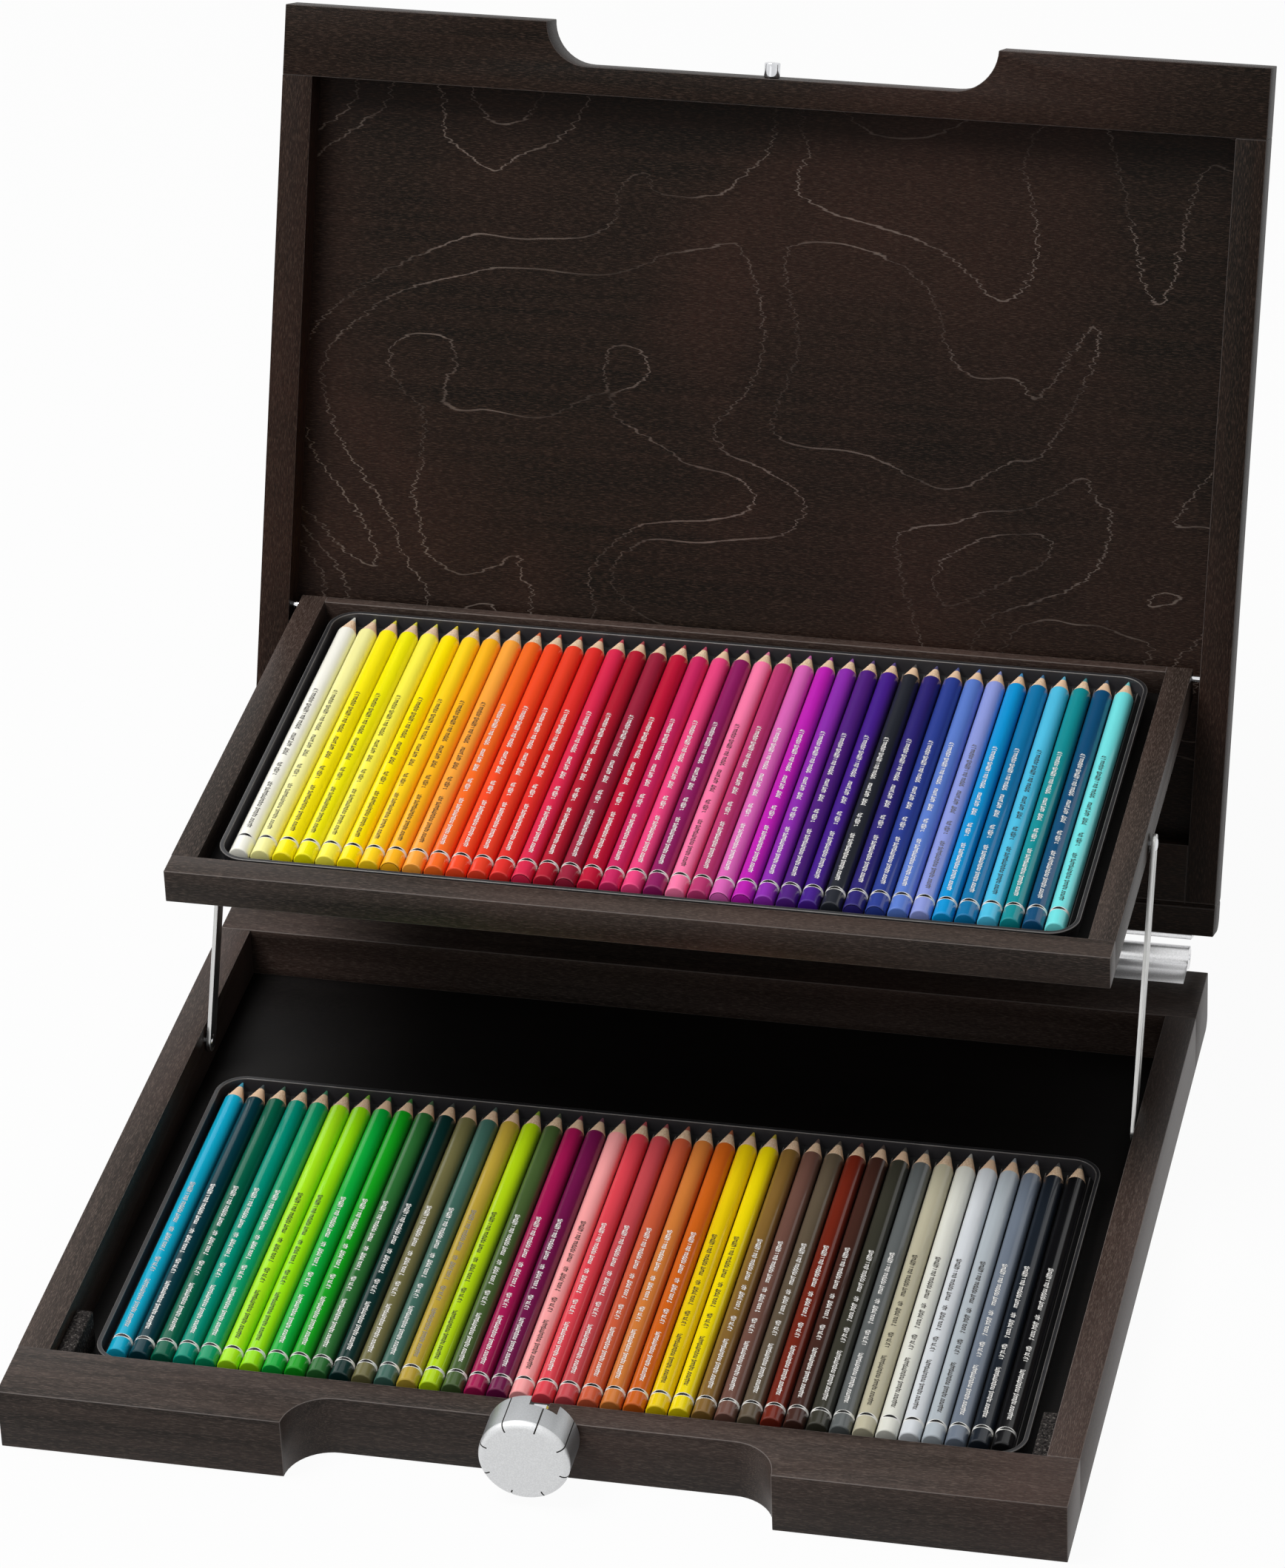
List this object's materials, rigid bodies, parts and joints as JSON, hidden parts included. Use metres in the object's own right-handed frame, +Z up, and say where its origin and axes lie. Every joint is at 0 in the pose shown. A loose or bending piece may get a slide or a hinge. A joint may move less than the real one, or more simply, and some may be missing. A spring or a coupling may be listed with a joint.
{
  "type": "pencil drawer box",
  "caption": "Hinged wooden pencil case, open: a lid with link bars that lift an upper pencil tray level, two metal tins of coloured pencils and a rotary latch.",
  "frame": {"origin": "centre of the base's footprint, on its underside", "axes": "+Z up, -Y the front with the latch knob, +X to the right seen from the front, +Y the hinge side"},
  "size_m": [0.3868, 0.4965, 0.3419],
  "materials": {
    "case_wood": "dark stain, satin",
    "panel_wood": "dark stain, matt",
    "hinge_metal": "brushed",
    "link_steel": "brushed",
    "pin_steel": "polished",
    "knob_metal": "satin",
    "tin_black": "satin black",
    "insert_black": "matt",
    "foam": "speckled foam",
    "paint_yellow": "gloss lacquer",
    "paint_orange": "gloss lacquer",
    "paint_red": "gloss lacquer",
    "paint_pink": "gloss lacquer",
    "paint_violet": "gloss lacquer",
    "paint_blue": "gloss lacquer",
    "paint_green": "gloss lacquer",
    "paint_olive": "gloss lacquer",
    "paint_rose": "gloss lacquer",
    "paint_gold": "gloss lacquer",
    "paint_brown": "gloss lacquer",
    "paint_grey": "gloss lacquer"
  },
  "bodies": {
    "base": {"base_floor": "panel_wood", "base_front_rail": "case_wood", "base_left_rail": "case_wood", "base_rear_rail": "case_wood", "base_right_rail": "case_wood", "corner_pads": "foam", "hinge_base_leaf": "hinge_metal", "hinge_pin": "pin_steel", "link_base_pins": "pin_steel", "lower_insert": "insert_black", "lower_pencils_brown": "paint_brown", "lower_pencils_gold": "paint_gold", "lower_pencils_green": "paint_green", "lower_pencils_grey": "paint_grey", "lower_pencils_olive": "paint_olive", "lower_pencils_rose": "paint_rose", "lower_tin": "tin_black"},
    "latch": {"latch_knob": "knob_metal", "latch_shaft": "pin_steel", "latch_nut": "pin_steel"},
    "lid": {"hinge_lid_leaf": "hinge_metal", "latch_pin": "pin_steel", "lid_front_rail": "case_wood", "lid_hinge_strip": "case_wood", "lid_left_rail": "case_wood", "lid_panel": "panel_wood", "lid_rear_rail": "case_wood", "lid_right_rail": "case_wood", "tray_pivot_pins": "pin_steel"},
    "tray": {"link_tray_pins": "pin_steel", "tray_floor": "panel_wood", "tray_front_rail": "case_wood", "tray_left_rail": "case_wood", "tray_rear_rail": "case_wood", "tray_right_rail": "case_wood", "upper_insert": "insert_black", "upper_pencils_blue": "paint_blue", "upper_pencils_orange": "paint_orange", "upper_pencils_pink": "paint_pink", "upper_pencils_red": "paint_red", "upper_pencils_violet": "paint_violet", "upper_pencils_yellow": "paint_yellow", "upper_tin": "tin_black"},
    "link_left": {"link_left": "link_steel"},
    "link_right": {"link_right": "link_steel"}
  },
  "joints": [
    {"name": "lid_hinge", "type": "hinge", "parent": "base", "child": "lid", "pos_m": [0, 0.1768, 0.0246], "axis": [1, 0, 0], "range_deg": [0, 113]},
    {"name": "tray_pivot", "type": "hinge", "parent": "lid", "child": "tray", "pos_m": [0, 0.22397, 0.12223], "axis": [1, 0, 0], "range_deg": [-113, 0]},
    {"name": "left_link_pivot", "type": "hinge", "parent": "base", "child": "link_left", "pos_m": [-0.1797, 0.0696, 0.0169], "axis": [1, 0, 0], "range_deg": [0, 113]},
    {"name": "right_link_pivot", "type": "hinge", "parent": "base", "child": "link_right", "pos_m": [0.1797, 0.0696, 0.0169], "axis": [1, 0, 0], "range_deg": [0, 113]},
    {"name": "latch_turn", "type": "hinge", "parent": "base", "child": "latch", "pos_m": [0, -0.1524, 0.0194], "axis": [0, 1, 0], "continuous": true}
  ],
  "couplings": [
    {"joint": "tray_pivot", "follows": "lid_hinge", "ratio": -1},
    {"joint": "left_link_pivot", "follows": "lid_hinge", "ratio": 1},
    {"joint": "right_link_pivot", "follows": "lid_hinge", "ratio": 1}
  ]
}
